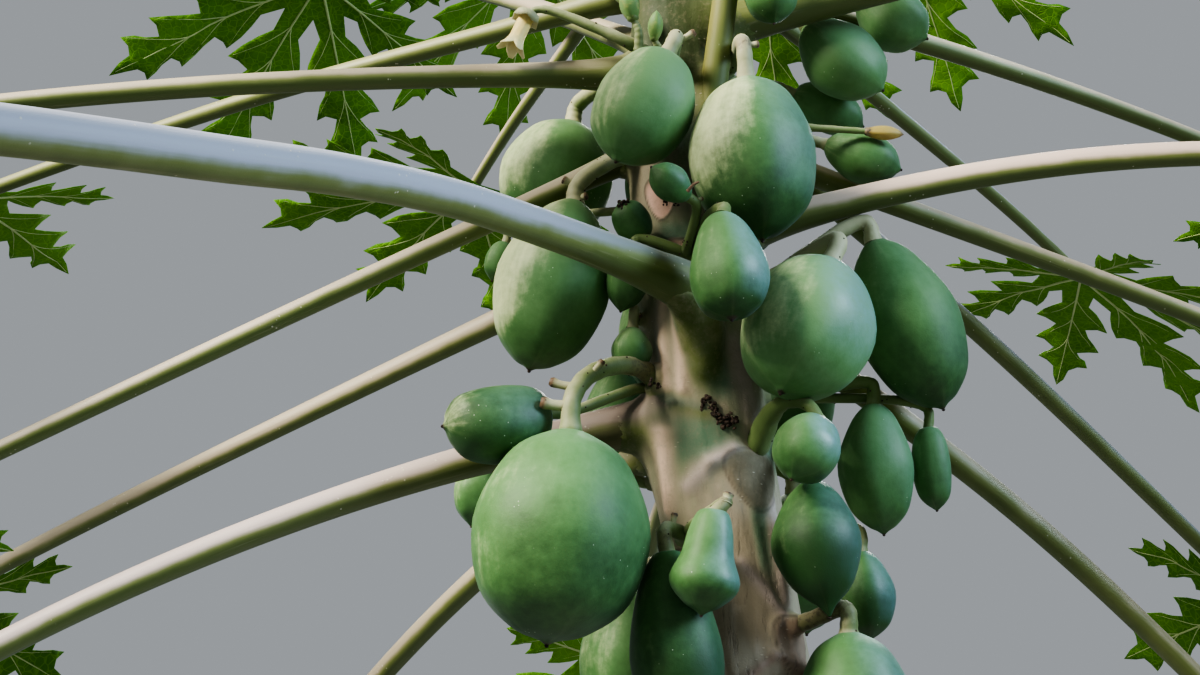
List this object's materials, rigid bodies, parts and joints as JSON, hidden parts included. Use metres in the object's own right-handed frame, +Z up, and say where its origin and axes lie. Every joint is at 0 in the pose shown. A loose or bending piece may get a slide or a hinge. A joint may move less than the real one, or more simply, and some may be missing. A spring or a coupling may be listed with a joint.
{
  "type": "papaya tree",
  "caption": "Papaya tree in fruit: a bare leaning trunk from a flared foot, green fruit packed round its top, and a crown of palmate leaves on long stalks.",
  "frame": {"origin": "middle of the flat cut under the trunk, at ground level", "axes": "+Z up; the trunk leans towards -X; +Y points away from the side that the picture shows"},
  "size_m": [2.3867, 2.2303, 3.1447],
  "materials": {
    "bark": "smooth grey-tan bark with leaf scars, green towards the crown",
    "leaf": "soft green blade with pale veins on a smooth olive stalk",
    "fruit": "unripe green skin with a faint grey bloom"
  },
  "bodies": {
    "root": {"trunk": "bark", "leaf_01": "leaf", "leaf_02": "leaf", "leaf_03": "leaf", "leaf_04": "leaf", "leaf_05": "leaf", "leaf_06": "leaf", "leaf_07": "leaf", "leaf_08": "leaf", "leaf_09": "leaf", "leaf_10": "leaf", "leaf_11": "leaf", "leaf_12": "leaf", "leaf_13": "leaf", "leaf_14": "leaf", "leaf_15": "leaf", "leaf_16": "leaf", "leaf_17": "leaf", "leaf_18": "leaf", "leaf_19": "leaf", "leaf_20": "leaf", "leaf_21": "leaf", "leaf_22": "leaf", "leaf_23": "leaf", "leaf_24": "leaf", "leaf_25": "leaf", "leaf_26": "leaf", "fruit_left_pair": "fruit", "fruit_right_pair": "fruit", "fruit_middle_bunch": "fruit", "fruit_lower_pair": "fruit", "fruit_far_right_pair": "fruit", "fruit_top_right_pair": "fruit", "fruit_right_small_pair": "fruit", "fruit_upper_left": "fruit", "fruit_upper_middle": "fruit", "fruit_left_behind": "fruit", "fruit_left_high": "fruit", "fruit_right_knob": "fruit", "fruit_right_pointed": "fruit", "fruit_right_behind": "fruit", "fruit_lowest": "fruit", "fruit_tucked": "fruit", "fruit_far_left": "fruit", "fruit_far_left_small": "fruit", "fruit_top_middle": "fruit", "fruit_back_high_pair": "fruit", "fruit_back_middle": "fruit", "fruit_back_right": "fruit", "fruit_back_left": "fruit", "fruit_back_low_pair": "fruit", "fruit_back_lowest": "fruit"}
  },
  "joints": []
}
